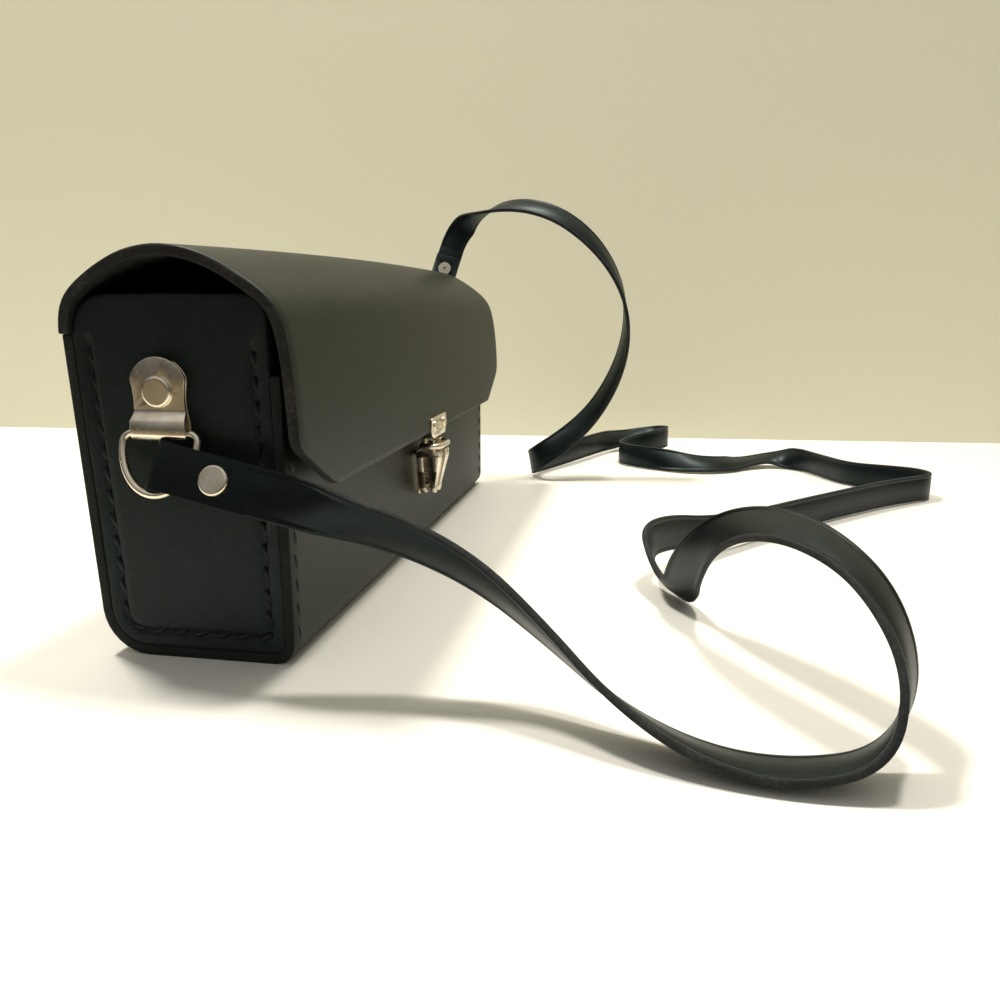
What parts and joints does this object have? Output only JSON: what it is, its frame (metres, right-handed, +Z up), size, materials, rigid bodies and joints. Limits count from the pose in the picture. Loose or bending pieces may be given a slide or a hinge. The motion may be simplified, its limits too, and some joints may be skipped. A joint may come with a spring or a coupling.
{
  "type": "leather camera case",
  "caption": "Long leather camera case with a domed wrap-over lid, pinch latch with an oval hasp ring, end ring clips and a free shoulder strap.",
  "frame": {"origin": "on the table under the middle of the case, halfway between its two end panels", "axes": "+X along the case to the right as seen from the latch, +Y away from the latch to the hinge, +Z up"},
  "size_m": [0.4216, 0.2839, 0.1474],
  "materials": {
    "body_leather": "smooth black leather with a soft sheen",
    "end_leather": "matt dark green-black leather with raw edges",
    "strap_leather": "smooth black strap leather with raw grey edges",
    "nickel_plate": "warm, lightly worn nickel plate",
    "spring_steel": "thin spring steel"
  },
  "bodies": {
    "case": {"case_wrap": "body_leather", "end_panel_left": "end_leather", "end_panel_right": "end_leather", "latch_base": "nickel_plate", "latch_base_rivets": "nickel_plate", "latch_backing_plate": "nickel_plate", "latch_pins": "nickel_plate", "latch_spring": "spring_steel", "ring_clip_left": "nickel_plate", "clip_rivet_left": "nickel_plate", "clip_washer_left": "nickel_plate", "ring_clip_right": "nickel_plate", "clip_rivet_right": "nickel_plate", "clip_washer_right": "nickel_plate", "strap_run_left": "strap_leather", "strap_run_right": "strap_leather"},
    "lid": {"lid": "body_leather", "hasp": "nickel_plate", "hasp_rivets": "nickel_plate"},
    "lever_left": {"latch_lever_left": "nickel_plate"},
    "lever_right": {"latch_lever_right": "nickel_plate"},
    "left_ring": {"d_ring_left": "nickel_plate", "strap_end_left": "strap_leather", "strap_rivet_left": "nickel_plate"},
    "right_ring": {"d_ring_right": "nickel_plate", "strap_end_right": "strap_leather", "strap_rivet_right": "nickel_plate"}
  },
  "joints": [
    {"name": "lid_hinge", "type": "hinge", "parent": "case", "child": "lid", "pos_m": [0, 0.0316, 0.08615], "axis": [-1, 0, 0], "range_deg": [0, 110]},
    {"name": "lever_left_pinch", "type": "hinge", "parent": "case", "child": "lever_left", "pos_m": [-0.0032, -0.032, 0.0239], "axis": [0, 1, 0], "range_deg": [0, 5], "stiffness_Nm_per_rad": 0.4, "springref_deg": -2.86},
    {"name": "lever_right_pinch", "type": "hinge", "parent": "case", "child": "lever_right", "pos_m": [0.0032, -0.032, 0.0239], "axis": [0, -1, 0], "range_deg": [0, 5], "stiffness_Nm_per_rad": 0.4, "springref_deg": -2.86},
    {"name": "left_ring_swing", "type": "hinge", "parent": "case", "child": "left_ring", "pos_m": [-0.12435, 0.005, 0.0615], "axis": [0, 1, 0], "range_deg": [0, 45]},
    {"name": "right_ring_swing", "type": "hinge", "parent": "case", "child": "right_ring", "pos_m": [0.12435, 0.00211, 0.08209], "axis": [0, 0.9613, 0.2756], "range_deg": [0, 45]}
  ]
}
